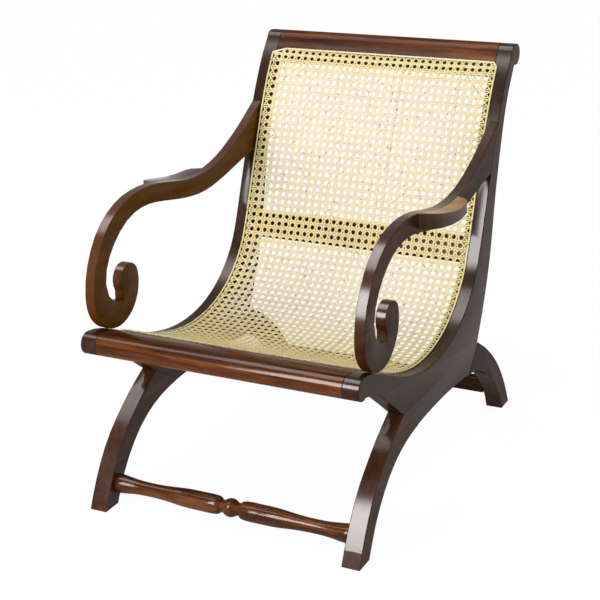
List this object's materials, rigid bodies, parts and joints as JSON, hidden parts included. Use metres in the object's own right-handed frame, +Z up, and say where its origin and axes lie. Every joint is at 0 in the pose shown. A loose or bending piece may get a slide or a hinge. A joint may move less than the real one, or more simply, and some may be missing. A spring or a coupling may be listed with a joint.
{
  "type": "planters chair",
  "caption": "Low reclining chair on two sawn side frames, with scrolled arms, a turned front stretcher and one sweep of woven cane for back and seat.",
  "frame": {"origin": "on the floor, in the middle of the chair's length and width", "axes": "+Z up, -Y the way the sitter faces, +X to the right seen from the front"},
  "size_m": [0.724, 0.9478, 0.916],
  "materials": {
    "frame_wood": "dark mahogany colour, glossy lacquer",
    "hidden_wood": "bare wood inside the joints",
    "cane": "woven natural cane, slight gloss",
    "binder": "flat binder cane, slight gloss"
  },
  "bodies": {
    "root": {"side_rail_left": "frame_wood", "front_leg_left": "frame_wood", "rear_leg_left": "frame_wood", "front_loose_tenon_left": "hidden_wood", "rear_loose_tenon_left": "hidden_wood", "arm_left": "frame_wood", "scroll_dowel_left": "hidden_wood", "arm_root_dowel_left_1": "hidden_wood", "arm_root_dowel_left_2": "hidden_wood", "armrest_pad_left": "frame_wood", "pad_dowel_left_1": "hidden_wood", "pad_dowel_left_2": "hidden_wood", "side_rail_right": "frame_wood", "front_leg_right": "frame_wood", "rear_leg_right": "frame_wood", "front_loose_tenon_right": "hidden_wood", "rear_loose_tenon_right": "hidden_wood", "arm_right": "frame_wood", "scroll_dowel_right": "hidden_wood", "arm_root_dowel_right_1": "hidden_wood", "arm_root_dowel_right_2": "hidden_wood", "armrest_pad_right": "frame_wood", "pad_dowel_right_1": "hidden_wood", "pad_dowel_right_2": "hidden_wood", "front_rail": "frame_wood", "top_rail": "frame_wood", "mid_back_rail": "frame_wood", "rear_lower_rail": "frame_wood", "front_stretcher": "frame_wood", "cane_panel": "cane", "binder_front": "binder", "binder_left": "binder", "binder_right": "binder", "binder_top": "binder"}
  },
  "joints": []
}
